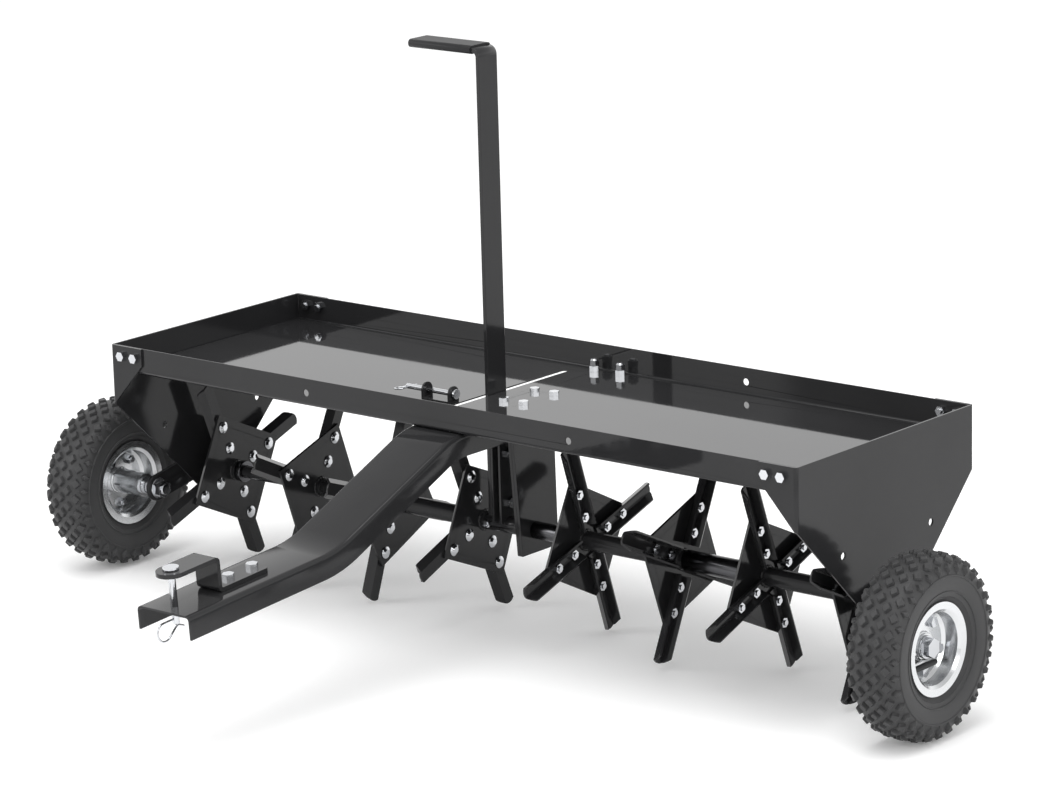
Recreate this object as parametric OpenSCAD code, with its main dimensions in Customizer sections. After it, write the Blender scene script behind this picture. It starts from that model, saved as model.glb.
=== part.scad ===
// Tow-behind plug aerator with a weight tray, eight free-turning tine spools on one lift shaft,
// two transport wheels on cranked arms, a hand lever, and a drawbar tongue with a clevis hitch.
// X runs across the machine, +Y is the rear, +Z is up, and Z = 0 is the ground under the wheels.

/* [Tray] */
// Width of the tray over its end plates
tray_w = 1250; // [1180:10:1400]
// Depth of the tray from front wall to rear wall
tray_d = 400; // [380:5:440]
// Height of the tray's front and rear walls
tray_wall_h = 40; // [32:1:60]
// Thickness of the tray sheet
tray_t = 2; // [1.5:0.5:3]
// Outer bend radius along the tray's lower edges
tray_bend_r = 5; // [4:0.5:8]
// Height of the tray rim above the shaft
deck_rise = 231; // [220:1:260]
// Length of the lever slot in the tray floor
slot_len = 320; // [300:5:350]
// Clearance on each side of the lever in its slot
slot_gap = 2; // [1:0.5:5]
// Diameter of the spare holes in the tray walls
wall_hole_d = 10; // [6:0.5:12]
// Distance of the spare wall holes from the middle
wall_hole_x = 240; // [150:5:400]

/* [End plates] */
// Thickness of each end plate
plate_t = 3; // [2:0.5:4]
// Height of the straight front and rear edges
plate_edge_h = 87; // [84:1:100]
// Distance of the plate's lower edge below the shaft
plate_foot = 25; // [24:1:40]
// Width of the flanges folded over the tray walls
flange_w = 62; // [56:1:80]
// Height of the flange's square part
flange_h = 26; // [22:1:30]
// Outer bend radius of the folded flanges
plate_bend_r = 5; // [4.5:0.5:7]
// Diameter of the spare holes in each end plate
side_hole_d = 10.5; // [6:0.5:13]
// Distance of the spare side holes from the tray's middle, front to rear
side_hole_y = 101; // [80:1:105]
// Height of the spare side holes above the shaft
side_hole_z = 88; // [70:1:100]

/* [Wheels] */
// Outside diameter of a wheel over its tread lugs
tyre_d = 254; // [250:1:270]
// Width of a tyre
tyre_w = 75; // [68:1:84]
// Diameter of a rim over its flanges
rim_d = 127; // [120:1:132]
// Width of a rim over its flanges
rim_w = 59; // [54:1:62]
// Thickness of the rim sheet
rim_t = 2.5; // [2:0.1:3]
// Depth of the tread lugs
lug_h = 4.5; // [3:0.5:6]
// Number of lugs in one row
lug_n = 32; // [24:1:36]
// Distance of the tyre's middle plane from the tray's end
wheel_out = 114; // [112:1:130]
// Diameter of the axle bolt
axle_d = 16; // [14:0.5:18]
// Outside diameter of the wheel hub
hub_d = 36; // [32:1:40]
// Length of the hub on the machine's side of the disc
hub_in = 57; // [50:1:60]
// Length of the hub outside the disc
hub_out = 8; // [5:0.5:14]
// Radius of the bolt circle that joins the rim halves
rim_bolt_r = 35; // [31:0.5:36]

/* [Lift] */
// Distance of the shaft behind the middle of the tray
shaft_back = 6; // [0:0.5:8]
// Diameter of the lift shaft
shaft_d = 19; // [16:0.5:20]
// Running clearance on the radius of each turning bore
run_fit = 0.08; // [0.02:0.02:0.1]
// Length of a wheel arm between its two bores
arm_len = 96; // [86:1:110]
// Angle of the wheel arms below the horizontal
arm_drop = 11; // [10:0.5:25]
// Width of a wheel arm
arm_w = 40; // [36:1:46]
// Thickness of a wheel arm
arm_t = 5; // [4:0.5:8]
// Distance of a wheel arm from the tray's end
arm_out = 31; // [24:1:34]
// Distance of the lever from the middle
lever_x = 62; // [58:1:72]
// Width of the lever bar
lever_w = 40; // [32:1:44]
// Thickness of the lever bar
lever_t = 6; // [5:0.5:8]
// Height of the lever's top above the tray rim
lever_rise = 461; // [380:1:520]
// Inner bend radius at the top of the lever
lever_bend_r = 7; // [5:0.5:12]
// Reach of the grip from the lever
grip_len = 112; // [95:1:130]
// Wall thickness of the grip sleeve
grip_wall = 3; // [2:0.5:4]
// Height of the lever bracket above the shaft
lug_top = 127; // [118:1:130]
// Sheet thickness of the lever bracket
lug_t = 4; // [3:0.5:5]
// Space inside the lever bracket
lug_gap = 10; // [8:0.5:12]
// Diameter of the lever bolts
lever_bolt_d = 10; // [8:0.5:10]
// Outside diameter of the tubes on the shaft
sleeve_d = 25.4; // [24:0.1:28]
// Outside diameter of the plain spacers on the shaft
spacer_d = 30; // [26:0.5:34]

/* [Spools] */
// Side of the square spool plate
spool_side = 138; // [128:1:140]
// Thickness of a spool plate
spool_t = 4; // [3:0.5:5]
// Distance of the innermost spool plates from the middle
spool_in = 94; // [92:1:110]
// Distance of the outermost spool plates from the tray's ends
spool_edge = 39.5; // [37:0.5:44]
// Shift of all spools to the right
spool_shift = 3; // [0:0.5:4]
// Distance between the two spools of a pair
spool_pair = 172; // [150:1:176]
// Outside diameter of the spool hubs
spool_hub_d = 27; // [25:0.5:30]
// Length of the fourth spool's hub toward the third one
hub_split = 28; // [15:1:60]
// Turn of each spool from the left end to the right end, in degrees
spool_turn = [20, 64, 70, 22, 18, 65, 20, 65];

/* [Tines] */
// Radius of the tine tips around the shaft
tip_r = 149; // [140:1:150]
// Radius where a tine starts
tine_in = 22; // [20:0.5:26]
// Width of a tine's flat base
tine_base = 18; // [17:0.5:20]
// Width of a tine across its open side
tine_open = 30; // [28:0.5:34]
// Height of a tine's side walls
tine_h = 13; // [12.5:0.5:16]
// Thickness of a tine
tine_t = 3; // [2:0.5:3.5]
// Length cut back from the open side at the tip
tip_cut = 12; // [6:1:20]
// Radius of the inner tine bolt circle
bolt_r1 = 39; // [37:0.5:42]
// Radius of the outer tine bolt circle
bolt_r2 = 76; // [70:0.5:80]
// Diameter of the tine bolts
tine_bolt_d = 8; // [6:0.5:8]

/* [Hangers] */
// Thickness of a hanger plate
hanger_t = 5; // [4:0.5:6]
// Width of a hanger plate at its top
hanger_w = 94; // [90:1:110]
// Width of a hanger plate at its foot
hanger_foot_w = 80; // [60:1:84]
// Distance of the hanger foot's middle behind the shaft
hanger_lean = 11; // [0:1:14]
// Distance of the hanger's foot below the shaft
hanger_foot = 34; // [24:1:40]
// Width of the hanger's top flange
hanger_flange = 34; // [30:1:38]
// Spacing of the tray bolts across the machine
tray_bolt_x = 36; // [30:1:40]
// Spacing of the tray bolts from front to rear
tray_bolt_y = 68; // [60:1:74]
// Diameter of the tray bolts
tray_bolt_d = 8; // [6:0.5:9]
// Spacing of the two rear studs
stud_x = 48; // [40:1:80]
// Diameter of the two rear studs
stud_d = 8; // [6:0.5:9]
// Height of the rear studs above the tray floor
stud_h = 19; // [16:1:26]

/* [Tongue] */
// Width of the tongue channel
tongue_w = 95; // [88:1:100]
// Depth of the tongue channel
tongue_h = 33; // [28:1:36]
// Sheet thickness of the tongue
tongue_t = 3; // [2.5:0.5:4]
// Distance of the tongue's front end from the middle of the tray
tongue_reach = 745; // [700:5:900]
// Distance of the tongue's front end below the tray's underside
tongue_drop = 126; // [90:1:140]
// Length of the tongue's low front part
tongue_low = 288; // [260:1:320]
// Rise of the low part from its front end to its bend
tongue_rise = 21; // [0:1:30]
// Radius of the lower bend of the tongue's upper face
tongue_bend_1 = 180; // [100:5:300]
// Radius of the upper bend of the tongue's upper face
tongue_bend_2 = 140; // [80:5:180]
// Length of the tongue behind the middle of the tray
tongue_tail = 75; // [60:1:120]

/* [Hitch] */
// Width of the hitch bracket
hitch_w = 41; // [36:1:58]
// Thickness of the hitch bracket
hitch_t = 6; // [5:0.5:8]
// Clear height of the hitch gap
hitch_gap = 44; // [40:1:60]
// Distance of the hitch pin from the tongue's front end
pin_in = 21.5; // [16:0.5:24]
// Distance of the bracket's leg from the tongue's front end
leg_in = 86; // [78:1:94]
// Length of the bracket's foot
foot_len = 98; // [90:1:120]
// Diameter of the hitch pin
pin_d = 10; // [8:0.1:13]
// Diameter of the hitch pin's head
pin_head_d = 22; // [18:0.5:26]
// Thickness of the hitch pin's head
pin_head_t = 4.5; // [3:0.5:8]
// Wire diameter of the hitch clip
clip_wire = 2.8; // [2:0.1:3.2]
// Ring radius of the hitch clip, to the middle of its wire
clip_ring = 12; // [10:0.5:14]

/* [Lock] */
// Distance between the two ears of the lock bracket
ear_gap = 46; // [40:1:56]
// Thickness of the lock bracket
ear_t = 3; // [2:0.5:4]
// Width of the lock bracket
ear_w = 22; // [18:1:26]
// Height of the lock pin above the tray floor
lock_z = 13; // [12:0.5:16]
// Distance of the lock pin in front of the middle of the tray
lock_y = 74; // [66:1:90]
// Diameter of the lock pin
lock_d = 8; // [6:0.5:9]
// Distance that the lock pin slides across the slot
lock_travel = 26; // [22:1:32]

/* [Hidden] */
// Number of sides drawn on a round surface
$fn = 48;
// Gap between two sheets of the same body that lie on each other
seam = 0.2;
// Radial gap round a bolt or a fixed shaft
snug = 0.05;
// Overlap past a face when a hole is cut
eps = 1;
// Gap between two parts that turn beside each other
side_gap = 0.5;
// Height of the axle above the ground
axle_z = tyre_d / 2;
// Height of the lift shaft above the ground
shaft_z = axle_z + arm_len * sin(arm_drop);
// Position of the axle from the shaft, front to rear
axle_y = -arm_len * cos(arm_drop);
// Height of the tray rim
rim_z = shaft_z + deck_rise;
// Underside of the tray floor
floor_z = rim_z - tray_wall_h;
// Upper face of the tray floor
deck_z = floor_z + tray_t;
// Half of the tray's width
half_w = tray_w / 2;
// Half of the tray's depth
half_d = tray_d / 2;
// Middle plane of a wheel
wheel_x = half_w + wheel_out;
// Inner face of a wheel arm
arm_x = half_w + arm_out;
// Inner end of a wheel hub
hub_x = wheel_x - hub_in;
// Distances of the four spools on each side from the middle
spool_pos = [spool_in, spool_in + spool_pair, half_w - spool_edge - spool_pair, half_w - spool_edge];
// Length of hub left on a spool plate's inner side
hub_stub = 10;
// Upper face of the tongue under the tray
web_z = floor_z - seam;
// Upper face of the hanger flanges
hanger_z = web_z - tongue_t - seam;
// Front end of the tongue, upper face
tip_z = web_z - tongue_drop;
// Slope of the low part of the tongue
low_a = atan2(tongue_rise, tongue_low);
// Bend points of the tongue's upper face.
bend_1 = [-tongue_reach + tongue_low, tip_z + tongue_rise];
bend_2 = [-half_d - 13, web_z];
// Slope of the tongue between its bends.
high_a = atan2(bend_2.y - bend_1.y, bend_2.x - bend_1.x);
// Lengths that the bends take from the straight runs beside them.
take_1 = tongue_bend_1 * tan((high_a - low_a) / 2);
take_2 = tongue_bend_2 * tan(high_a / 2);
// Distance of the hitch clip's leg below the tongue's upper face
clip_leg = 17;
// Distance of the hitch clip's ring in front of the pin
clip_fore = 24.5;
// Height of a common bolt head
head_h = 6;
// Front end of the machine
front_y = -tongue_reach + min(
    (pin_in - clip_fore) * cos(low_a) + (clip_leg + clip_ring) * sin(low_a) - clip_ring - clip_wire / 2,
    (pin_in - hitch_w / 2) * cos(low_a) - (hitch_gap + hitch_t) * sin(low_a)
);
// Rear end of the machine
rear_y = half_d + seam + plate_t + head_h;
// Shift that puts the origin under the middle of the machine
origin_y = (front_y + rear_y) / 2;

// Puts a piece drawn about the middle of the tray into the frame of the whole machine.
module placed() {
    translate([0, -origin_y, 0]) children();
}

// Puts a piece drawn about the shaft into the frame of the whole machine.
module on_shaft() {
    placed() translate([0, shaft_back, 0]) children();
}

// Mirrors a right-hand piece to the left when the side is negative.
module sided(side) {
    mirror([side < 0 ? 1 : 0, 0, 0]) children();
}

// Extrudes a flat shape drawn in Y and Z along X, from x0 to x1.
module along_x(x0, x1) {
    translate([x0, 0, 0]) rotate([90, 0, 90]) linear_extrude(x1 - x0) children();
}

// Extrudes a flat shape drawn in X and Z along Y, from y0 to y1.
module along_y(y0, y1) {
    translate([0, y1, 0]) rotate([90, 0, 0]) linear_extrude(y1 - y0) children();
}

// Round bar or hole along X, from x0 to x1.
module rod_x(x0, x1, d) {
    translate([x0, 0, 0]) rotate([0, 90, 0]) cylinder(h = x1 - x0, d = d);
}

// Round bar or hole along Y, from y0 to y1.
module rod_y(y0, y1, d) {
    translate([0, y0, 0]) rotate([-90, 0, 0]) cylinder(h = y1 - y0, d = d);
}

// Tube along X, from x0 to x1.
module tube_x(x0, x1, od, id) {
    difference() {
        rod_x(x0, x1, od);
        rod_x(x0 - eps, x1 + eps, id);
    }
}

// Hexagon along Z with the given width across its flats.
module hex(af, h) {
    cylinder(h = h, d = af / cos(30), $fn = 6);
}

// Hex bolt along -Z with its head standing on Z = 0 and a nut on its far end.
module hex_bolt(d, grip, af, nut_h) {
    hex(af, head_h);
    translate([0, 0, -grip - nut_h - 3]) cylinder(h = grip + nut_h + 3 + head_h / 2, d = d);
    translate([0, 0, -grip - nut_h]) hex(af, nut_h);
}

// Flat shape of a channel that opens upward, standing on y = 0.
module round_box(w, h, r) {
    translate([-w / 2, r]) square([w, h - r]);
    translate([-w / 2 + r, 0]) square([w - 2 * r, h]);
    for (s = [-1, 1]) translate([s * (w / 2 - r), r]) circle(r);
}

module channel(w, h, t, r) {
    difference() {
        round_box(w, h, r);
        translate([0, t]) round_box(w - 2 * t, h, r - t);
    }
}

// Weight tray: one folded pan, open at both ends where the end plates close it.
module tray() {
    color("#2b2b2d") difference() {
        translate([0, 0, floor_z])
            along_x(-half_w + plate_bend_r + seam, half_w - plate_bend_r - seam)
                channel(tray_d, tray_wall_h, tray_t, tray_bend_r);
        slot_cut();
        for (x = [-1, 1], y = [-1, 1])
            translate([x * tray_bolt_x / 2, shaft_back + y * tray_bolt_y / 2, floor_z - eps])
                cylinder(h = tray_t + 2 * eps, d = tray_bolt_d + 2 * snug);
        for (x = [-1, 1])
            translate([x * stud_x / 2, stud_y, floor_z - eps])
                cylinder(h = tray_t + 2 * eps, d = stud_d + 2 * snug);
        for (x = [-1, 1])
            translate([x * wall_hole_x, 0, rim_z - end_bolt_z - 6])
                rod_y(-half_d - eps, half_d + eps, wall_hole_d);
        end_bolt_holes(tray_t);
    }
}

// Width across flats of the nuts on the rear studs.
stud_af = 13;
// Rear studs stand this far behind the middle of the tray.
stud_y = half_d - 17;
// End bolts lie this far below the rim.
end_bolt_z = 15;
// End bolts lie these distances inside the tray's end.
end_bolt_x = [23, 49];
// Diameter of the end bolts.
end_bolt_d = 8;
// Width across flats of the end bolts.
end_bolt_af = 13;

module slot_cut() {
    w = lever_t + 2 * slot_gap;
    translate([-lever_x, shaft_back, floor_z - eps]) {
        translate([-w / 2, -slot_len / 2 + w / 2, 0]) cube([w, slot_len - w, tray_t + 2 * eps]);
        for (y = [-1, 1]) translate([0, y * (slot_len - w) / 2, 0]) cylinder(h = tray_t + 2 * eps, d = w);
    }
}

// Holes for the bolts that hold the end plates, through a wall of the given thickness.
module end_bolt_holes(t) {
    for (s = [-1, 1], x = end_bolt_x, y = [-1, 1])
        translate([s * (half_w - x), y * (half_d - t / 2), rim_z - end_bolt_z])
            rod_y(-t / 2 - eps, t / 2 + eps, end_bolt_d + 2 * snug);
}

// End plate: home-plate outline with a flange folded over each tray wall.
module end_plate(side) {
    w = tray_d + 2 * (seam + plate_t);
    foot_half = half_d - (deck_rise + plate_foot - plate_edge_h);
    taper = plate_edge_h - flange_h;
    color("#303032") sided(side) difference() {
        intersection() {
            translate([half_w, 0, shaft_z - plate_foot]) rotate([0, 0, 90])
                linear_extrude(deck_rise + plate_foot) channel(w, flange_w, plate_t, plate_bend_r);
            along_x(half_w - flange_w - eps, half_w + eps) polygon([
                [-w / 2, rim_z], [-w / 2, rim_z - plate_edge_h],
                [-foot_half, shaft_z - plate_foot], [foot_half, shaft_z - plate_foot],
                [w / 2, rim_z - plate_edge_h], [w / 2, rim_z],
            ]);
            along_y(-w / 2 - eps, w / 2 + eps) polygon([
                [half_w, rim_z], [half_w - flange_w, rim_z], [half_w - flange_w, rim_z - flange_h],
                [half_w - flange_w + 8, rim_z - flange_h - 8],
                [half_w - plate_bend_r, rim_z - flange_h - taper],
                [half_w - plate_bend_r, 0], [half_w, 0],
            ]);
        }
        for (y = [-1, 1]) translate([0, y * side_hole_y, shaft_z + side_hole_z])
            rod_x(half_w - plate_t - eps, half_w + eps, side_hole_d);
        translate([0, shaft_back, shaft_z]) rod_x(half_w - plate_t - eps, half_w + eps, bush_d + 2 * snug);
        for (x = end_bolt_x, y = [-1, 1])
            translate([half_w - x, y * (half_d + plate_t / 2), rim_z - end_bolt_z])
                rod_y(-plate_t - eps, plate_t + eps, end_bolt_d + 2 * snug);
    }
}

// Outside diameter of the shaft bushes in the end plates.
bush_d = shaft_d + 6;
// Diameter of the bush flange.
bush_flange_d = bush_d + 11;
// Distance of the bush flange's outer face from the end plate.
bush_rim = 2.7;

// Flanged plastic bushes that carry the shaft in the end plates.
module shaft_bushes() {
    color("#1c1c1e") for (s = [-1, 1]) sided(s) translate([0, 0, shaft_z]) difference() {
        union() {
            rod_x(half_w - plate_t - 2, half_w + 1, bush_d);
            rod_x(half_w + seam, half_w + bush_rim, bush_flange_d);
        }
        rod_x(half_w - plate_t - 2 - eps, half_w + bush_rim + eps, shaft_d + 2 * run_fit);
    }
}

// Hanger: angle plate that hangs the middle of the shaft under the tray.
module hanger(side) {
    foot_z = shaft_z - hanger_foot;
    reach = max(hanger_w, hanger_foot_w + 2 * hanger_lean) / 2;
    color("#343436") sided(side) difference() {
        intersection() {
            along_y(-hanger_w / 2, reach + eps) {
                translate([seam / 2, foot_z]) square([hanger_t, hanger_z - foot_z]);
                translate([seam / 2, hanger_z - hanger_t]) square([hanger_flange, hanger_t]);
            }
            along_x(0, hanger_flange + eps) polygon([
                [-hanger_w / 2, hanger_z], [-hanger_w / 2, hanger_z - hanger_t - 8],
                [hanger_lean - hanger_foot_w / 2, foot_z], [hanger_lean + hanger_foot_w / 2, foot_z],
                [hanger_w / 2, hanger_z - hanger_t - 8], [hanger_w / 2, hanger_z],
            ]);
        }
        translate([0, 0, shaft_z]) rod_x(-eps, hanger_t + 2 * eps, shaft_d + 2 * run_fit);
        for (y = [-1, 1]) translate([tray_bolt_x / 2, y * tray_bolt_y / 2, hanger_z - hanger_t - eps])
            cylinder(h = hanger_t + 2 * eps, d = tray_bolt_d + 2 * snug);
    }
}

// Number of flats along each bend of the tongue.
bend_n = 12;

// Points on an arc in Y and Z from one angle to another.
function arc(centre, r, from, to) =
    [for (i = [0:bend_n]) let (a = from + (to - from) * i / bend_n) centre + r * [cos(a), sin(a)]];

// Side view of the tongue's upper face, sunk by a depth and made longer at both ends.
function tongue_path(depth, more) =
    let (low = [cos(low_a), sin(low_a)], high = [cos(high_a), sin(high_a)])
    let (c1 = bend_1 - take_1 * low + tongue_bend_1 * [-low.y, low.x])
    let (c2 = bend_2 - take_2 * high - tongue_bend_2 * [-high.y, high.x])
    concat(
        [[-tongue_reach, tip_z] - more * low + depth * [low.y, -low.x]],
        arc(c1, tongue_bend_1 + depth, low_a - 90, high_a - 90),
        arc(c2, tongue_bend_2 - depth, high_a + 90, 90),
        [[tongue_tail + more, web_z - depth]]
    );

// Side view of the tongue between two depths below its upper face.
module tongue_band(depth_0, depth_1, more) {
    under = tongue_path(depth_1, more);
    polygon(concat(tongue_path(depth_0, more), [for (i = [len(under) - 1:-1:0]) under[i]]));
}

// Tongue: channel that opens downward, low at the hitch and cranked up under the tray.
module tongue() {
    color("#3a3a3c") difference() {
        along_x(-tongue_w / 2, tongue_w / 2) tongue_band(0, tongue_h, 0);
        along_x(-tongue_w / 2 + tongue_t, tongue_w / 2 - tongue_t) tongue_band(tongue_t, tongue_h + eps, eps);
        for (x = [-1, 1], y = [-1, 1])
            translate([x * tray_bolt_x / 2, shaft_back + y * tray_bolt_y / 2, web_z - tongue_t - eps])
                cylinder(h = tongue_t + 2 * eps, d = tray_bolt_d + 2 * snug);
        at_hitch() {
            translate([0, pin_in, -tongue_t - eps]) cylinder(h = tongue_t + 2 * eps, d = pin_d + 2 * run_fit);
            for (v = foot_bolt_v) translate([0, v, -tongue_t - eps])
                cylinder(h = tongue_t + 2 * eps, d = foot_bolt_d + 2 * snug);
        }
    }
}

// Diameter of the bolts through the bracket's foot.
foot_bolt_d = 8;
// Positions of the foot bolts behind the tongue's front end.
foot_bolt_v = [leg_in + 0.4 * foot_len, leg_in + 0.867 * foot_len];
// Width across flats of the foot bolts.
foot_bolt_af = 15;

// Frame on the low part of the tongue: Y runs back along its upper face and Z stands square to it.
module at_hitch() {
    translate([0, -tongue_reach, tip_z]) rotate([low_a, 0, 0]) children();
}

// Hitch bracket: strap folded twice, from an ear over the tongue down to a foot on it.
module hitch_bracket() {
    ear_z = hitch_gap;
    bend = hitch_t + 2;
    front = pin_in - hitch_w / 2;
    back = leg_in + foot_len;
    color("#3a3a3c") at_hitch() difference() {
        intersection() {
            along_x(-hitch_w / 2, hitch_w / 2) {
                translate([front, ear_z]) square([leg_in + hitch_t - bend - front, hitch_t]);
                translate([leg_in, seam + bend]) square([hitch_t, ear_z + hitch_t - 2 * bend - seam]);
                translate([leg_in + bend, seam]) square([foot_len - bend, hitch_t]);
                translate([leg_in + hitch_t - bend, ear_z + hitch_t - bend]) quarter_ring(bend, hitch_t, 0);
                translate([leg_in + bend, seam + bend]) quarter_ring(bend, hitch_t, 180);
            }
            linear_extrude(hitch_gap + hitch_t + eps) {
                translate([0, pin_in]) circle(hitch_w / 2);
                translate([-hitch_w / 2, pin_in]) square([hitch_w, back - 8 - pin_in]);
                translate([-hitch_w / 2 + 8, back - 9]) square([hitch_w - 16, 9]);
                for (s = [-1, 1]) translate([s * (hitch_w / 2 - 8), back - 8]) circle(8);
            }
        }
        translate([0, pin_in, ear_z - eps]) cylinder(h = hitch_t + 2 * eps, d = pin_d + 2 * run_fit);
        for (v = foot_bolt_v) translate([0, v, -eps])
            cylinder(h = hitch_t + 3 * eps, d = foot_bolt_d + 2 * snug);
    }
}

// Quarter of a flat ring of outer radius r and width t, turned by a.
module quarter_ring(r, t, a) {
    rotate(a) intersection() {
        difference() {
            circle(r);
            circle(r - t);
        }
        square(r + eps);
    }
}

module hitch_bolts() {
    grip = hitch_t + seam + tongue_t;
    color("#c9cacc") at_hitch() for (v = foot_bolt_v)
        translate([0, v, hitch_t + seam]) hex_bolt(foot_bolt_d, grip, foot_bolt_af, 8);
}

// Bolts that hold the tongue and both hangers under the tray floor, and the two studs at its rear.
module tray_bolts() {
    color("#c9cacc") {
        for (x = [-1, 1], y = [-1, 1])
            translate([x * tray_bolt_x / 2, shaft_back + y * tray_bolt_y / 2, deck_z])
                hex_bolt(tray_bolt_d, deck_z - hanger_z + hanger_t, 13, 7);
        for (x = [-1, 1]) translate([x * stud_x / 2, stud_y, deck_z]) {
            translate([0, 0, -tray_t - stud_d / 2]) hex(stud_af, stud_d / 2);
            translate([0, 0, -tray_t - stud_d / 4]) cylinder(h = 0.9 * stud_h, d = stud_d);
            hex(stud_af, 0.45 * stud_h);
            translate([0, 0, 0.48 * stud_h]) rotate(20) hex(stud_af, 0.4 * stud_h);
            translate([0, 0, 0.88 * stud_h - seam]) cylinder(h = 0.12 * stud_h + seam, d1 = 0.9 * stud_af, d2 = stud_d);
        }
    }
}

// Bolts through the end plate flanges and the tray walls, with nuts inside the tray.
module end_bolts() {
    grip = plate_t + seam + tray_t;
    color("#c9cacc") for (s = [-1, 1], x = end_bolt_x, y = [-1, 1])
        translate([s * (half_w - x), y * (half_d + seam + plate_t), rim_z - end_bolt_z])
            rotate([-90 * y, 0, 0]) hex_bolt(end_bolt_d, grip, end_bolt_af, 6);
}

// Thickness of the lock pin's head.
lock_head = 5.5;
// Distance of the lock bracket's inner ear from the middle.
ear_x = lever_x + lever_t / 2 + 1 + lock_head + seam;
// Distance of the lock pin's outer end from the middle.
lock_end = ear_x + ear_gap + 2 * ear_t + lock_travel + 9;
// Wire diameter of the lock clip.
lock_wire = 2.2;

// Lock bracket: U of strap on the tray floor with two round-topped ears.
module lock_bracket() {
    color("#202022") translate([0, -lock_y, deck_z]) difference() {
        union() {
            translate([-ear_x - ear_gap - 2 * ear_t, -ear_w / 2, seam]) cube([ear_gap + 2 * ear_t, ear_w, ear_t]);
            for (x = [ear_x, ear_x + ear_gap + ear_t]) {
                translate([-x - ear_t, -ear_w / 2, seam]) cube([ear_t, ear_w, lock_z - seam]);
                translate([0, 0, lock_z]) rod_x(-x - ear_t, -x, ear_w);
            }
        }
        translate([0, 0, lock_z]) rod_x(-lock_end, 0, lock_d + 2 * run_fit);
    }
}

// Lock pin: slides across the slot behind the lever when the wheels are down.
module lock_pin() {
    color("#c9cacc") translate([0, -lock_y, deck_z + lock_z]) difference() {
        union() {
            rod_x(-lock_end, -ear_x + seam, lock_d);
            rod_x(-ear_x + seam, -ear_x + seam + lock_head, lock_d + 6);
        }
        translate([-lock_end + 5, 0, 0]) rod_y(-lock_d, lock_d, lock_wire + 2 * run_fit);
    }
}

// Spring clip of round wire: a leg along Y, a ring below its front end and a second leg below the first.
module spring_clip(wire, ring, fore, back, apart) {
    turn = asin((ring - apart) / ring);
    rod_y(-fore, back, wire);
    translate([0, -fore, -ring]) rotate([90, 0, 90]) rotate([0, 0, 90])
        rotate_extrude(angle = 270 + turn) translate([ring, 0]) circle(d = wire);
    translate([0, -fore + ring * cos(turn), -apart]) sphere(d = wire + 0.3);
    translate([0, 0, -apart]) rod_y(-fore + ring * cos(turn), back / 2, wire);
    translate([0, back / 2, -apart]) {
        sphere(d = wire + 0.3);
        rotate([-40, 0, 0]) rod_y(0, 8, wire);
    }
}

module lift_shaft() {
    color("#2c2c2e") translate([0, 0, shaft_z]) difference() {
        rod_x(-arm_x - arm_t - 2, arm_x + arm_t + 2, shaft_d);
        translate([-cross_x, 0, 0]) rod_y(-shaft_d, shaft_d, cross_d + 2 * snug);
    }
}

// Position of the cross bolt that pins the lever's tube to the shaft, halfway between lever and spool.
cross_x = (lever_x + lever_t / 2 + spool_in - spool_shift - hub_stub) / 2;
// Diameter of the cross bolt.
cross_d = 6;

// Start of the tubes beside the hangers.
tube_start = seam / 2 + hanger_t + side_gap;
// Gap between the middle of a spool plate and the tube or collar beside its hub.
hub_side = hub_stub + side_gap;

// Black tubes fixed on the shaft: the lever's tube, the left spacer, and the ones outside the end plates.
module shaft_sleeves() {
    bore = shaft_d + 2 * snug;
    color("#2c2c2e") translate([0, 0, shaft_z]) {
        difference() {
            tube_x(-spool_in + spool_shift + hub_side, -tube_start, sleeve_d, bore);
            translate([-cross_x, 0, 0]) rod_y(-sleeve_d, sleeve_d, cross_d + 2 * snug);
        }
        translate([spool_shift, 0, 0])
            tube_x(-spool_pos[2] + hub_side, -spool_pos[1] - hub_side, sleeve_d, bore);
        for (s = [-1, 1]) sided(s) tube_x(half_w + bush_rim + side_gap, arm_x - snug, sleeve_d, bore);
    }
}

// Bright steel tubes and collars on the shaft that keep the spools in their places.
module shaft_spacers() {
    bore = shaft_d + 2 * snug;
    color("#8d8e90") translate([0, 0, shaft_z]) {
        tube_x(tube_start, spool_in + spool_shift - hub_side, sleeve_d, bore);
        translate([spool_shift, 0, 0]) {
            tube_x(spool_pos[1] + hub_side, spool_pos[2] - hub_side, spacer_d, bore);
            collar(spool_pos[3] + hub_side, bore);
            collar(-spool_pos[3] - hub_side - collar_w, bore);
            collar(-spool_pos[3] + hub_side, bore);
            collar(-spool_pos[2] - hub_side - collar_w, bore);
        }
    }
}

// Width of a shaft collar.
collar_w = 11;

module collar(x, bore) {
    tube_x(x, x + collar_w, spacer_d + 2, bore);
}

// Half of the width of the lever bracket.
lug_half = lug_gap / 2 + lug_t;
// Middle of the lever bracket.
lug_x = lever_x - lever_t / 2 - seam - lug_half;
// Heights of the lever bolts above the shaft.
lever_bolt_z = [34, 106];

// Lever bracket: channel welded on the shaft's tube, open to the front.
module lever_bracket() {
    color("#303032") translate([-lug_x, 0, shaft_z]) difference() {
        translate([0, lever_w / 2, 6]) rotate([0, 0, 180])
            linear_extrude(lug_top - 6) channel(2 * lug_half, lever_w, lug_t, lug_t + 1);
        rod_x(-lug_half - eps, lug_half + eps, sleeve_d + 2 * snug);
        for (z = lever_bolt_z) translate([0, 0, z])
            rod_x(-lug_half - eps, lug_half + eps, lever_bolt_d + 2 * snug);
    }
}

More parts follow.
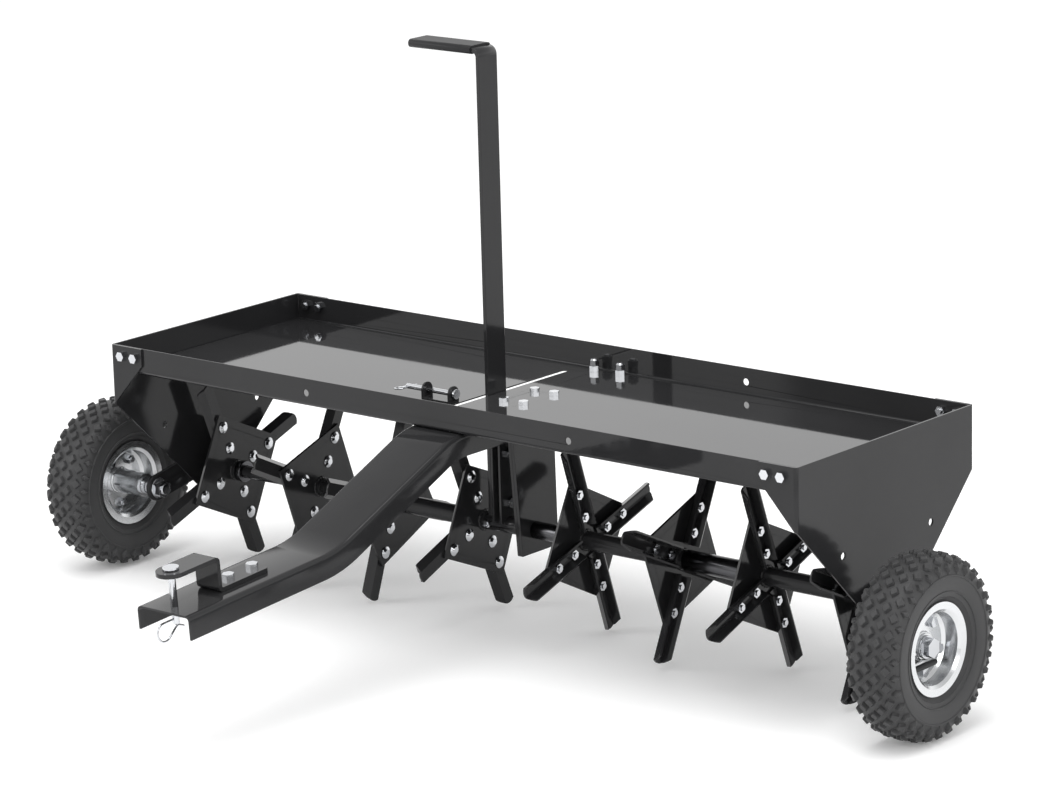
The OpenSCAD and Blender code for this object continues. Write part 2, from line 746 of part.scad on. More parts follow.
// Lever: flat bar that stands through the tray slot and turns over at the top into the grip.
module lever() {
    top = rim_z + lever_rise;
    r = lever_bend_r + lever_t;
    foot = shaft_z + sleeve_d / 2 + 2;
    color("#2e2e30") difference() {
        along_y(-lever_w / 2, lever_w / 2) translate([-lever_x, 0]) {
            translate([-lever_t / 2, foot]) square([lever_t, top - r - foot]);
            translate([lever_t / 2 - r, top - r]) quarter_ring(r, lever_t, 0);
            translate([lever_t / 2 - r - grip_len, top - lever_t]) square([grip_len, lever_t]);
        }
        for (z = lever_bolt_z) translate([-lever_x, 0, shaft_z + z])
            rod_x(-lever_t / 2 - eps, lever_t / 2 + eps, lever_bolt_d + 2 * snug);
    }
}

// Soft sleeve pushed over the lever's end.
module lever_grip() {
    top = rim_z + lever_rise;
    x1 = -lever_x + lever_t / 2 - lever_bend_r - lever_t - 1;
    x0 = x1 - grip_len + 1;
    w = lever_w + 2 * grip_wall;
    h = lever_t + 2 * grip_wall;
    color("#18181a") translate([0, 0, top - lever_t / 2]) difference() {
        along_x(x0 - grip_wall, x1) {
            translate([-w / 2 + h / 2, -h / 2]) square([w - h, h]);
            for (s = [-1, 1]) translate([s * (w - h) / 2, 0]) circle(h / 2);
        }
        translate([x0 - snug, -lever_w / 2 - snug, -lever_t / 2 - snug])
            cube([grip_len + eps, lever_w + 2 * snug, lever_t + 2 * snug]);
    }
}

// Two bolts through the lever and its bracket, and the cross bolt through tube and shaft.
module lever_bolts() {
    grip = 2 * lug_half + seam + lever_t;
    color("#c9cacc") {
        for (z = lever_bolt_z) translate([-lug_x + lug_half, 0, shaft_z + z])
            rotate([0, 90, 0]) hex_bolt(lever_bolt_d, grip, 16, 8);
        translate([-cross_x, sleeve_d / 2, shaft_z]) rotate([-90, 0, 0]) hex_bolt(cross_d, sleeve_d, 10, 5);
    }
}

// Wheel arm: flat strap with round ends from the shaft's end forward and down to the axle.
module wheel_arm(side) {
    color("#262628") sided(side) translate([0, 0, shaft_z]) difference() {
        along_x(arm_x, arm_x + arm_t) rotate(180 + arm_drop) {
            circle(d = arm_w);
            translate([0, -arm_w / 2]) square([arm_len, arm_w]);
            translate([arm_len, 0]) circle(d = arm_w);
        }
        rod_x(arm_x - eps, arm_x + arm_t + eps, shaft_d + 2 * snug);
        translate([0, axle_y, axle_z - shaft_z]) rod_x(arm_x - eps, arm_x + arm_t + eps, axle_d + 2 * snug);
    }
}

// Axle bolts with their washers, spacers and nuts.
module axle_bolts() {
    tip = wheel_x + hub_out + side_gap;
    color("#c4c5c7") for (s = [-1, 1]) sided(s) translate([0, axle_y, axle_z]) {
        rod_x(arm_x - 17, tip + 4, axle_d);
        rod_x(tip, tip + 3, axle_d + 15);
        translate([tip + 2, 0, 0]) rotate([0, 90, 0]) hex(24, 11);
        rod_x(arm_x + arm_t + snug, hub_x - side_gap, axle_d + 9);
        rod_x(arm_x - 3 - snug, arm_x - snug, axle_d + 15);
        translate([arm_x - 14, 0, 0]) rotate([0, 90, 0]) hex(24, 12);
    }
}

// Puts a wheel piece, drawn round the X axis with +X outward, on its axle.
module at_wheel(side) {
    sided(side) translate([wheel_x, axle_y, axle_z]) children();
}

// Turns a profile drawn as radius and X into a solid round the X axis.
module spun() {
    rotate([0, 90, 0]) rotate_extrude() children();
}

// Flat shape of a tread row: lugs of the given radius with gaps down to a base radius.
module lug_star(r, base, turn) {
    step = 360 / lug_n;
    polygon([
        for (i = [0:lug_n - 1], k = [[-0.3, base], [-0.28, r], [0.28, r], [0.3, base]])
            let (a = (i + turn + k[0]) * step) k[1] * [cos(a), sin(a)]
    ]);
}

// Radius of a rim.
rim_r = rim_d / 2;
// Radius of the tyre's bead where it sits on the rim.
bead = rim_r * 0.82;
// Half of the width of a rim.
rim_half = rim_w / 2;

// Puts a list of (radius, X) points and its mirror image into one closed outline.
function both_sides(points) = concat(points, [for (i = [len(points) - 1:-1:0]) [points[i].x, -points[i].y]]);

// Tyre: hollow casing on the rim with rows of block lugs.
module tyre(side) {
    hw = tyre_w / 2;
    top = tyre_d / 2;
    tr = top - lug_h;
    wall = tr - rim_r;
    outer = [
        [bead, rim_half * 0.773], [rim_r * 0.871, rim_half * 0.854], [rim_r + wall * 0.017, rim_half * 0.889],
        [rim_r + wall * 0.093, hw * 0.893], [rim_r + wall * 0.347, hw], [rim_r + wall * 0.686, hw * 0.987],
        [rim_r + wall * 0.898, hw * 0.893], [tr, hw * 0.707],
    ];
    inner = [
        [rim_r + wall * 0.88, hw * 0.627], [rim_r + wall * 0.652, hw * 0.813], [rim_r + wall * 0.347, hw * 0.827],
        [rim_r + wall * 0.127, hw * 0.707], [rim_r + wall * 0.042, rim_half * 0.644], [bead, rim_half * 0.644],
    ];
    crown = [
        [rim_r + wall * 0.56, hw], [rim_r + wall * 0.864, hw * 0.973],
        [tr + lug_h * 0.55, hw * 0.787], [top, hw * 0.68],
    ];
    row = tyre_w * 0.192;
    color("#1d1d1e") at_wheel(side) {
        spun() polygon(concat(both_sides(outer),
            [for (i = [len(inner) - 1:-1:0]) [inner[i].x, -inner[i].y]], inner));
        intersection() {
            union() for (k = [-2:2])
                translate([(k - 0.444) * row, 0, 0]) rotate([0, 90, 0]) linear_extrude(row * 0.889)
                    lug_star(tyre_d, abs(k) == 2 ? tr - 3.5 * lug_h : tr - 0.9 * lug_h, abs(k) / 2);
            spun() polygon(both_sides(crown));
        }
    }
}

// Rim: two pressed halves bolted together at the middle plane.
module rim(side) {
    start = hub_d / 2 + seam;
    gap = seam / 2;
    face = gap + rim_t;
    half = [
        [start, gap], [rim_r * 0.709, gap], [rim_r * 0.795, 2 * rim_t], [rim_r * 0.811, rim_half * 0.78],
        [rim_r * 0.866, rim_half * 0.864], [rim_r, rim_half * 0.898], [rim_r, rim_half],
        [rim_r * 0.843, rim_half * 0.966], [rim_r * 0.772, rim_half * 0.847], [rim_r * 0.756, 2.6 * rim_t],
        [rim_r * 0.685, face], [start, face],
    ];
    color("#d6d8da") at_wheel(side) for (s = [-1, 1]) sided(s) difference() {
        spun() polygon(half);
        for (i = [0:4]) rotate([72 * i + 36, 0, 0]) translate([0, 0, rim_bolt_r])
            rod_x(-eps, face + eps, rim_bolt_d + 2 * snug);
        if (s > 0) translate([valve_x, 0, -valve_z]) rod_y(-rim_r, -rim_r * 0.6, valve_d + 0.4);
    }
}

// Distance of the valve below the axle.
valve_z = 22.5;
// Position of the valve outside the rim's middle plane.
valve_x = 14;
// Diameter of the valve stem.
valve_d = 8.6;
// Diameter of the bolts that join the rim halves.
rim_bolt_d = 8;

module rim_bolts(side) {
    face = seam / 2 + rim_t;
    color("#c9cacc") at_wheel(side) for (i = [0:4]) rotate([72 * i + 36, 0, 0])
        translate([face, 0, rim_bolt_r]) rotate([0, 90, 0]) hex_bolt(rim_bolt_d, 2 * face, 13, 6);
}

// Hub: plain tube welded through the rim discs, bored for the axle bolt.
module hub(side) {
    color("#cfd1d3") at_wheel(side) tube_x(-hub_in, hub_out, hub_d, axle_d + 2 * run_fit);
}

// Rubber valve stem: out of the rim well in front and below the axle, then back across the disc.
module valve(side) {
    color("#171718") at_wheel(side) translate([valve_x, 0, -valve_z]) {
        rod_y(-rim_r * 0.77, 10, valve_d);
        rod_y(9, 14, valve_d - 1.4);
    }
}

module hitch_pin() {
    color("#cfd0d2") at_hitch() translate([0, pin_in, 0]) difference() {
        union() {
            translate([0, 0, -clip_leg - 6]) cylinder(h = hitch_gap + hitch_t + clip_leg + 7, d = pin_d);
            translate([0, 0, -clip_leg - 8]) cylinder(h = 2, d1 = pin_d - 4, d2 = pin_d);
            translate([0, 0, hitch_gap + hitch_t + seam]) cylinder(h = pin_head_t, d = pin_head_d);
        }
        translate([0, 0, -clip_leg]) rod_y(-pin_d, pin_d, clip_wire + 2 * run_fit);
    }
}

module hitch_clip() {
    color("#d0d1d3") at_hitch() translate([0, pin_in, -clip_leg])
        spring_clip(clip_wire, clip_ring, clip_fore, 18, clip_wire + 8);
}

module lock_clip() {
    color("#d0d1d3") translate([-lock_end + 5, -lock_y, deck_z + lock_z]) rotate([0, 90, 0])
        spring_clip(lock_wire, 8, 13, 14, lock_wire + 5);
}

// Flat shape of a tine cut across, its base on y = 0 and its open side up.
module tine_section() {
    b = tine_base / 2;
    o = tine_open / 2;
    l = norm([o - b, tine_h]);
    nx = tine_t * tine_h / l;
    ny = tine_t * (o - b) / l;
    in = b - nx + (tine_t - ny) * (o - b) / tine_h;
    polygon([
        [-b, 0], [b, 0], [o, tine_h], [o - nx, tine_h + ny], [in, tine_t],
        [-in, tine_t], [-o + nx, tine_h + ny], [-o, tine_h],
    ]);
}

// Tine: flared trough along Y on the plane X = 0, its open side toward +X and its tip rounded and cut back.
module tine() {
    top = tine_h + tine_t;
    difference() {
        intersection() {
            translate([0, tine_in, 0]) rotate([-90, -90, 0]) linear_extrude(tip_r - tine_in) tine_section();
            along_x(-eps, top) {
                translate([0, -tine_open / 2]) square([tip_r - tine_open / 2, tine_open]);
                translate([tip_r - tine_open / 2, 0]) circle(d = tine_open);
            }
        }
        for (r = [bolt_r1, bolt_r2]) translate([0, r, 0]) rod_x(-eps, top, tine_bolt_d + 2 * snug);
        translate([tine_t, tip_r, -tine_open]) rotate([0, 0, -atan2(tip_cut, tine_h)])
            cube([2 * tine_h, tine_open, 2 * tine_open]);
    }
}

// Puts a spool piece, drawn round the X axis with +X outboard, at its place on the shaft.
module at_spool(i) {
    side = i < 4 ? -1 : 1;
    k = i < 4 ? 3 - i : i - 4;
    translate([spool_shift, 0, shaft_z]) rotate([spool_turn[i], 0, 0])
        sided(side) translate([spool_pos[k], 0, 0]) children();
}

// Length of a spool's hub on its inboard side.
function hub_inboard(i) = i == 2 ? spool_pair - hub_split - side_gap : hub_stub;

// Length of a spool's hub on its outboard side.
function hub_outboard(i) =
    i == 3 ? hub_split :
    i == 4 || i == 6 ? spool_pair - hub_stub - side_gap : hub_stub;

// Spool plate: square plate welded on a hub tube that turns freely on the shaft.
module spool_plate(i) {
    color("#38383a") at_spool(i) difference() {
        union() {
            rotate([45, 0, 0]) translate([-spool_t / 2, -spool_side / 2, -spool_side / 2])
                cube([spool_t, spool_side, spool_side]);
            rod_x(-hub_inboard(i), hub_outboard(i), spool_hub_d);
        }
        rod_x(-hub_inboard(i) - eps, hub_outboard(i) + eps, shaft_d + 2 * run_fit);
        for (a = [0:90:270], r = [bolt_r1, bolt_r2]) rotate([a, 0, 0]) translate([0, r, 0])
            rod_x(-spool_t, spool_t, tine_bolt_d + 2 * snug);
    }
}

// Four tines bolted along the diagonals of one spool plate.
module tines(i) {
    color("#2f2f31") at_spool(i) for (a = [0:90:270]) rotate([a, 0, 0])
        translate([spool_t / 2 + seam, 0, 0]) tine();
}

// Round-headed bolts of one spool, heads inboard and nuts inside the tines.
module tine_bolts(i) {
    nut_x = spool_t / 2 + seam + tine_t;
    color("#cbccce") at_spool(i) for (a = [0:90:270], r = [bolt_r1, bolt_r2])
        rotate([a, 0, 0]) translate([0, r, 0]) {
            rod_x(-spool_t / 2 - 1, nut_x + 9, tine_bolt_d);
            rod_x(-spool_t / 2 - 1.5, -spool_t / 2, 18);
            translate([-spool_t / 2 - 1.5, 0, 0]) rotate([0, -90, 0]) cylinder(h = 3, d1 = 18, d2 = 9);
            translate([nut_x, 0, 0]) rotate([0, 90, 0]) rotate([0, 0, 30]) hex(13, 6.5);
        }
}

placed() tray();
placed() end_plate(-1);  // end_plate_left
placed() end_plate(1);  // end_plate_right
on_shaft() hanger(-1);  // hanger_left
on_shaft() hanger(1);  // hanger_right
placed() tongue();
placed() hitch_bracket();
placed() hitch_bolts();
placed() tray_bolts();
placed() end_bolts();
placed() lock_bracket();
on_shaft() shaft_bushes();
on_shaft() lift_shaft();
on_shaft() shaft_sleeves();
on_shaft() shaft_spacers();
on_shaft() lever_bracket();
on_shaft() lever();
on_shaft() lever_grip();
on_shaft() lever_bolts();
on_shaft() wheel_arm(-1);  // wheel_arm_left
on_shaft() wheel_arm(1);  // wheel_arm_right
on_shaft() axle_bolts();
on_shaft() tyre(-1);  // tyre_left
on_shaft() rim(-1);  // rim_left
on_shaft() hub(-1);  // hub_left
on_shaft() rim_bolts(-1);  // rim_bolts_left
on_shaft() valve(-1);  // valve_left
on_shaft() tyre(1);  // tyre_right
on_shaft() rim(1);  // rim_right
on_shaft() hub(1);  // hub_right
on_shaft() rim_bolts(1);  // rim_bolts_right
on_shaft() valve(1);  // valve_right
placed() hitch_pin();
placed() hitch_clip();
placed() lock_pin();
placed() lock_clip();
for (i = [0:7]) {
    on_shaft() spool_plate(i);
    on_shaft() tines(i);
    on_shaft() tine_bolts(i);
}
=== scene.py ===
"""Tow-behind lawn aerator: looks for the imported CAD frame, in metres, with +X right, +Y rear and +Z up."""
import math
import bpy
from mathutils import Matrix, Vector


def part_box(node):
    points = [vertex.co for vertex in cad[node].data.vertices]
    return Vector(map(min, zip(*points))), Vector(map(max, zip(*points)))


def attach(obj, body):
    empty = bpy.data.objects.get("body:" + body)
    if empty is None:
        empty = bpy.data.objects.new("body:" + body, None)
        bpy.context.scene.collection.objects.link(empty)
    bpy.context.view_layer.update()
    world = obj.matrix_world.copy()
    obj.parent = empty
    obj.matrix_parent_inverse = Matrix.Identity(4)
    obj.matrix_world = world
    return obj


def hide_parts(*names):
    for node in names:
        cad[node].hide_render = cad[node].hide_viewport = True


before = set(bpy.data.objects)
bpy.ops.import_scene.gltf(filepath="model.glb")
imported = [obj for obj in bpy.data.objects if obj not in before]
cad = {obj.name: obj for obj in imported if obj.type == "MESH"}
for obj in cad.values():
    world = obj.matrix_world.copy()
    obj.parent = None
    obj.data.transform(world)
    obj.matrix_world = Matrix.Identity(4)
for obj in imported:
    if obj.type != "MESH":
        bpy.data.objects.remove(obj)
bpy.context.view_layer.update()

# Camera
# A long lens from the front right, a little above the tray, with a slight tilt of the horizon.
# The picture counts as 1060 x 803 pixels, and the focal length is given in those pixels.
VIEW_AZIMUTH = math.radians(40.1)
VIEW_ELEVATION = math.radians(14.13)
VIEW_ROLL = math.radians(-1.54)
VIEW_TARGET = Vector((0.0023, 0.2799, 0.3340))
VIEW_DISTANCE = 6.3556
PICTURE_WIDTH = 1060
FOCAL_PIXELS = 4480.3
SENSOR_WIDTH = 36.0
FAR_CLIP = 60

toward = Vector((
    math.cos(VIEW_ELEVATION) * math.sin(VIEW_AZIMUTH),
    -math.cos(VIEW_ELEVATION) * math.cos(VIEW_AZIMUTH),
    math.sin(VIEW_ELEVATION),
))
level_right = (-toward).cross(Vector((0, 0, 1))).normalized()
level_up = level_right.cross(-toward)
camera_right = level_right * math.cos(VIEW_ROLL) + level_up * math.sin(VIEW_ROLL)
camera_up = level_up * math.cos(VIEW_ROLL) - level_right * math.sin(VIEW_ROLL)
camera = bpy.data.objects.new("camera", bpy.data.cameras.new("camera"))
bpy.context.scene.collection.objects.link(camera)
camera.data.sensor_width = SENSOR_WIDTH
camera.data.lens = SENSOR_WIDTH * FOCAL_PIXELS / PICTURE_WIDTH
camera.data.clip_end = FAR_CLIP
camera.matrix_world = Matrix((
    (camera_right.x, camera_up.x, toward.x, VIEW_TARGET.x + toward.x * VIEW_DISTANCE),
    (camera_right.y, camera_up.y, toward.y, VIEW_TARGET.y + toward.y * VIEW_DISTANCE),
    (camera_right.z, camera_up.z, toward.z, VIEW_TARGET.z + toward.z * VIEW_DISTANCE),
    (0, 0, 0, 1),
))
bpy.context.scene.camera = camera
bpy.context.scene.view_settings.view_transform = "Standard"

# Studio
# A pale matt floor in a white surround, under one large soft light, with smaller ones at both sides.
# The floor glows a little towards the camera, so that its far part stays white and shadows stay on it.
FLOOR_REACH = 12
FLOOR_SHADE = 0.93
FLOOR_GLOW = 0.12
SURROUND_FILL = 0.95
HORIZON_BELOW = 0.95
ZENITH = 0.8
SURROUND_BANDS = (  # place from straight down to straight up, and shade that gloss reflects there
    (0.5, 1.0), (0.57, 1.35), (0.66, 1.35), (0.74, 0.9), (0.85, 0.7),
)
floor_mesh = bpy.data.meshes.new("studio_floor")
floor_corners = [(x * FLOOR_REACH, y * FLOOR_REACH, 0) for x, y in ((-1, -1), (1, -1), (1, 1), (-1, 1))]
floor_mesh.from_pydata(floor_corners, [], [(0, 1, 2, 3)])
studio_floor = bpy.data.objects.new("studio_floor", floor_mesh)
bpy.context.scene.collection.objects.link(studio_floor)
floor_paint = bpy.data.materials.new("studio_floor")
floor_paint.use_nodes = True
floor_shader = floor_paint.node_tree.nodes["Principled BSDF"]
floor_shader.inputs["Base Color"].default_value = (FLOOR_SHADE, FLOOR_SHADE, FLOOR_SHADE, 1)
floor_shader.inputs["Roughness"].default_value = 0.9
floor_shader.inputs["Specular IOR Level"].default_value = 0.1
floor_tree = floor_paint.node_tree
floor_path = floor_tree.nodes.new("ShaderNodeLightPath")
floor_seen = floor_tree.nodes.new("ShaderNodeMath")
floor_seen.operation = "MAXIMUM"
floor_glow = floor_tree.nodes.new("ShaderNodeMath")
floor_glow.operation = "MULTIPLY"
floor_glow.inputs[1].default_value = FLOOR_GLOW
floor_shader.inputs["Emission Color"].default_value = (1, 1, 1, 1)
floor_tree.links.new(floor_path.outputs["Is Camera Ray"], floor_seen.inputs[0])
floor_tree.links.new(floor_path.outputs["Is Glossy Ray"], floor_seen.inputs[1])
floor_tree.links.new(floor_seen.outputs[0], floor_glow.inputs[0])
floor_tree.links.new(floor_glow.outputs[0], floor_shader.inputs["Emission Strength"])
floor_mesh.materials.append(floor_paint)

surround = bpy.data.worlds.new("surround")
bpy.context.scene.world = surround
surround.use_nodes = True
sky = surround.node_tree
sky.nodes.clear()
sky_out = sky.nodes.new("ShaderNodeOutputWorld")
sky_mix = sky.nodes.new("ShaderNodeMixShader")
sky_seen = sky.nodes.new("ShaderNodeBackground")
sky_seen.inputs["Color"].default_value = (1, 1, 1, 1)
sky_lit = sky.nodes.new("ShaderNodeBackground")
sky_path = sky.nodes.new("ShaderNodeLightPath")
sky_height = sky.nodes.new("ShaderNodeTexCoord")
sky_split = sky.nodes.new("ShaderNodeSeparateXYZ")
sky_ramp = sky.nodes.new("ShaderNodeValToRGB")
sky_ramp.color_ramp.elements[0].color = (HORIZON_BELOW, HORIZON_BELOW, HORIZON_BELOW, 1)
sky_ramp.color_ramp.elements[1].color = (ZENITH, ZENITH, ZENITH, 1)
for place, shade in SURROUND_BANDS:
    stop = sky_ramp.color_ramp.elements.new(place)
    stop.color = (shade, shade, shade, 1)
# A Mix node has its sockets once for each kind of value; these are the places of the colour ones.
COLOUR_A, COLOUR_B, COLOUR_RESULT = 6, 7, 2
sky_glint = sky.nodes.new("ShaderNodeMix")
sky_glint.data_type = "RGBA"
sky_glint.inputs[COLOUR_A].default_value = (SURROUND_FILL, SURROUND_FILL, SURROUND_FILL, 1)
sky_half = sky.nodes.new("ShaderNodeMath")
sky_half.operation = "MULTIPLY_ADD"
sky_half.inputs[1].default_value = 0.5
sky_half.inputs[2].default_value = 0.5
sky.links.new(sky_height.outputs["Generated"], sky_split.inputs[0])
sky.links.new(sky_split.outputs["Z"], sky_half.inputs[0])
sky.links.new(sky_half.outputs[0], sky_ramp.inputs["Fac"])
sky.links.new(sky_ramp.outputs["Color"], sky_glint.inputs[COLOUR_B])
sky.links.new(sky_path.outputs["Is Glossy Ray"], sky_glint.inputs["Factor"])
sky.links.new(sky_glint.outputs[COLOUR_RESULT], sky_lit.inputs["Color"])
sky.links.new(sky_path.outputs["Is Camera Ray"], sky_mix.inputs["Fac"])
sky.links.new(sky_lit.outputs[0], sky_mix.inputs[1])
sky.links.new(sky_seen.outputs[0], sky_mix.inputs[2])
sky.links.new(sky_mix.outputs[0], sky_out.inputs["Surface"])

for lamp_name, place, aim, lamp_size, watts in (
    ("light_above", (0.6, -0.8, 4.2), (0, 0.2, 0.2), 3.0, 90),
    ("light_left", (-3.6, -3.2, 2.4), (0, 0.2, 0.3), 2.0, 45),
    ("light_right", (4.2, -0.6, 1.8), (0.3, 0.2, 0.2), 1.6, 30),
):
    lamp = bpy.data.objects.new(lamp_name, bpy.data.lights.new(lamp_name, "AREA"))
    lamp.data.size = lamp_size
    lamp.data.energy = watts
    lamp.location = place
    lamp.rotation_euler = (Vector(aim) - Vector(place)).to_track_quat("-Z", "Y").to_euler()
    bpy.context.scene.collection.objects.link(lamp)


# Tray
# One pan folded from 2 mm sheet steel and bolted to the end plates and hangers.
# Its gloss black powder coat has a fine orange-peel skin, with faint patches of tone and gloss.
PAINT_SPECULAR, METAL_SPECULAR = 0.25, 0.5
RELIEF_DEPTH = 0.001
JOIN_WITHIN = 0.00002
EDGE_ANGLE = math.radians(40)
EDGE_SEGMENTS = 2


def shared_group(name, sockets):
    """Starts a shader node group with the given (name, direction, type) sockets."""
    group = bpy.data.node_groups.new(name, "ShaderNodeTree")
    for label, way, kind in sockets:
        group.interface.new_socket(label, in_out=way, socket_type=kind)
    return group, group.nodes.new("NodeGroupInput"), group.nodes.new("NodeGroupOutput")


coat_skin, skin_in, skin_out = shared_group("coat_skin", (
    ("Base", "INPUT", "NodeSocketColor"),
    ("Scale", "INPUT", "NodeSocketFloat"),
    ("Gloss", "INPUT", "NodeSocketFloat"),
    ("Color", "OUTPUT", "NodeSocketColor"),
    ("Roughness", "OUTPUT", "NodeSocketFloat"),
    ("Height", "OUTPUT", "NodeSocketFloat"),
))
skin_place = coat_skin.nodes.new("ShaderNodeTexCoord")
skin_peel = coat_skin.nodes.new("ShaderNodeTexNoise")
skin_peel.inputs["Detail"].default_value = 2
skin_patch = coat_skin.nodes.new("ShaderNodeTexNoise")
skin_patch.inputs["Scale"].default_value = 5.5
skin_patch.inputs["Detail"].default_value = 5
skin_tone = coat_skin.nodes.new("ShaderNodeMapRange")
skin_tone.inputs["From Min"].default_value = 0.3
skin_tone.inputs["From Max"].default_value = 0.7
skin_tone.inputs["To Min"].default_value = 0.88
skin_tone.inputs["To Max"].default_value = 1.14
skin_colour = coat_skin.nodes.new("ShaderNodeVectorMath")
skin_colour.operation = "MULTIPLY"
skin_rough = coat_skin.nodes.new("ShaderNodeMapRange")
skin_rough.inputs["From Min"].default_value = 0.3
skin_rough.inputs["From Max"].default_value = 0.75
skin_rough.inputs["To Min"].default_value = 0.0
skin_rough.inputs["To Max"].default_value = 0.04
skin_sum = coat_skin.nodes.new("ShaderNodeMath")
skin_sum.operation = "ADD"
for a, b in (
    (skin_place.outputs["Object"], skin_peel.inputs["Vector"]),
    (skin_place.outputs["Object"], skin_patch.inputs["Vector"]),
    (skin_in.outputs["Scale"], skin_peel.inputs["Scale"]),
    (skin_patch.outputs["Fac"], skin_tone.inputs["Value"]),
    (skin_patch.outputs["Fac"], skin_rough.inputs["Value"]),
    (skin_in.outputs["Base"], skin_colour.inputs[0]),
    (skin_tone.outputs["Result"], skin_colour.inputs[1]),
    (skin_rough.outputs["Result"], skin_sum.inputs[0]),
    (skin_in.outputs["Gloss"], skin_sum.inputs[1]),
    (skin_colour.outputs[0], skin_out.inputs["Color"]),
    (skin_sum.outputs[0], skin_out.inputs["Roughness"]),
    (skin_peel.outputs["Fac"], skin_out.inputs["Height"]),
):
    coat_skin.links.new(a, b)


def finish_material(name, colour, gloss, metal=0.0, peel=260.0, relief=0.02):
    """Material whose colour, roughness and relief come from the shared coat skin."""
    made = bpy.data.materials.new(name)
    made.use_nodes = True
    tree = made.node_tree
    shader = tree.nodes["Principled BSDF"]
    skin = tree.nodes.new("ShaderNodeGroup")
    skin.node_tree = coat_skin
    skin.inputs["Base"].default_value = (*colour, 1)
    skin.inputs["Scale"].default_value = peel
    skin.inputs["Gloss"].default_value = gloss
    bump = tree.nodes.new("ShaderNodeBump")
    bump.inputs["Strength"].default_value = relief
    bump.inputs["Distance"].default_value = RELIEF_DEPTH
    shader.inputs["Metallic"].default_value = metal
    shader.inputs["Specular IOR Level"].default_value = METAL_SPECULAR if metal else PAINT_SPECULAR
    tree.links.new(skin.outputs["Color"], shader.inputs["Base Color"])
    tree.links.new(skin.outputs["Roughness"], shader.inputs["Roughness"])
    tree.links.new(skin.outputs["Height"], bump.inputs["Height"])
    tree.links.new(bump.outputs["Normal"], shader.inputs["Normal"])
    return made


def dress(nodes, material, edge=0.0):
    """Gives CAD nodes a material and, for pressed or cut steel, a small rounded edge."""
    for node in nodes:
        piece = cad[node]
        piece.data.materials.clear()
        piece.data.materials.append(material)
        if edge:
            weld = piece.modifiers.new("joined", "WELD")
            weld.merge_threshold = JOIN_WITHIN
            rounding = piece.modifiers.new("edge", "BEVEL")
            rounding.width = edge
            rounding.segments = EDGE_SEGMENTS
            rounding.limit_method = "ANGLE"
            rounding.angle_limit = EDGE_ANGLE
            rounding.use_clamp_overlap = True
            rounding.harden_normals = True


tray_coat = finish_material("tray_coat", (0.021, 0.021, 0.022), 0.03, relief=0.01)
dress(["tray"], tray_coat, 0.0005)

# End plates
# Two 3 mm steel plates with flanges folded over the tray's walls, bolted through both at each corner.
# They have the same black coat as the tray, a touch duller on the big face.
plate_coat = finish_material("plate_coat", (0.019, 0.019, 0.02), 0.09)
dress(["end_plate_left", "end_plate_right"], plate_coat, 0.0005)

# Hangers and brackets
# Two angle plates back to back, bolted under the tray to carry the middle of the shaft, the bent strap
# over the tongue's tip and the small lock bracket. All are cut from thicker plate and coated black.
beam_coat = finish_material("beam_coat", (0.022, 0.022, 0.023), 0.07)
dress(["hanger_left", "hanger_right"], beam_coat, 0.0006)
dress(["hitch_bracket"], beam_coat, 0.0012)
dress(["lock_bracket"], beam_coat, 0.0004)

# Tongue
# Channel pressed from 3 mm sheet steel with rounded long edges, open below and cranked twice.
# Its rear end is bolted under the tray, and the hitch pin drops through a hole in its tip.
TONGUE_HALF = 0.0475
TONGUE_DEPTH = 0.033
TONGUE_SHEET = 0.003
TONGUE_EDGE = 0.0075
TIP_RUN, TIP_RISE = 0.288, 0.021
TIP_DROP = 0.126
CREST_FORE = 0.213
TAIL_BACK = 0.075
KNEE_RADIUS, CREST_RADIUS = 0.18, 0.14
BEND_STEPS = 24
EDGE_STEPS = 8
CREASE_ANGLE = math.radians(35)
PIN_FROM_TIP = 0.0215
PIN_HOLE_RADIUS = 0.0051
DRILL_HALF = 0.02
DRILL_SIDES = 48


def new_piece(name, points, faces, material, body):
    """Mesh object in the row frame that rides on a CAD body."""
    mesh = bpy.data.meshes.new(name)
    mesh.from_pydata(points, [], faces)
    mesh.materials.append(material)
    made = bpy.data.objects.new(name, mesh)
    bpy.context.scene.collection.objects.link(made)
    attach(made, body)
    return made


tray_low, tray_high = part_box("tray")
tongue_low, tongue_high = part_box("tongue")
tray_middle = (tray_low.y + tray_high.y) / 2
knee = Vector((tongue_low.y + TIP_RUN, tongue_high.z - TIP_DROP + TIP_RISE))
crest = Vector((tray_middle - CREST_FORE, tongue_high.z))
slopes = [math.atan2(TIP_RISE, TIP_RUN), math.atan2(crest.y - knee.y, crest.x - knee.x), 0.0]
stations = [(Vector((tongue_low.y, tongue_high.z - TIP_DROP)), slopes[0])]
for corner, radius, before, after in (
    (knee, KNEE_RADIUS, slopes[0], slopes[1]),
    (crest, CREST_RADIUS, slopes[1], slopes[2]),
):
    rising = 1 if after > before else -1
    take = radius * math.tan(abs(after - before) / 2)
    start = corner - take * Vector((math.cos(before), math.sin(before)))
    middle = start + rising * radius * Vector((-math.sin(before), math.cos(before)))
    for k in range(BEND_STEPS + 1):
        a = before + (after - before) * k / BEND_STEPS
        stations.append((middle - rising * radius * Vector((-math.sin(a), math.cos(a))), a))
stations.append((Vector((tray_middle + TAIL_BACK, tongue_high.z)), 0.0))
section = []
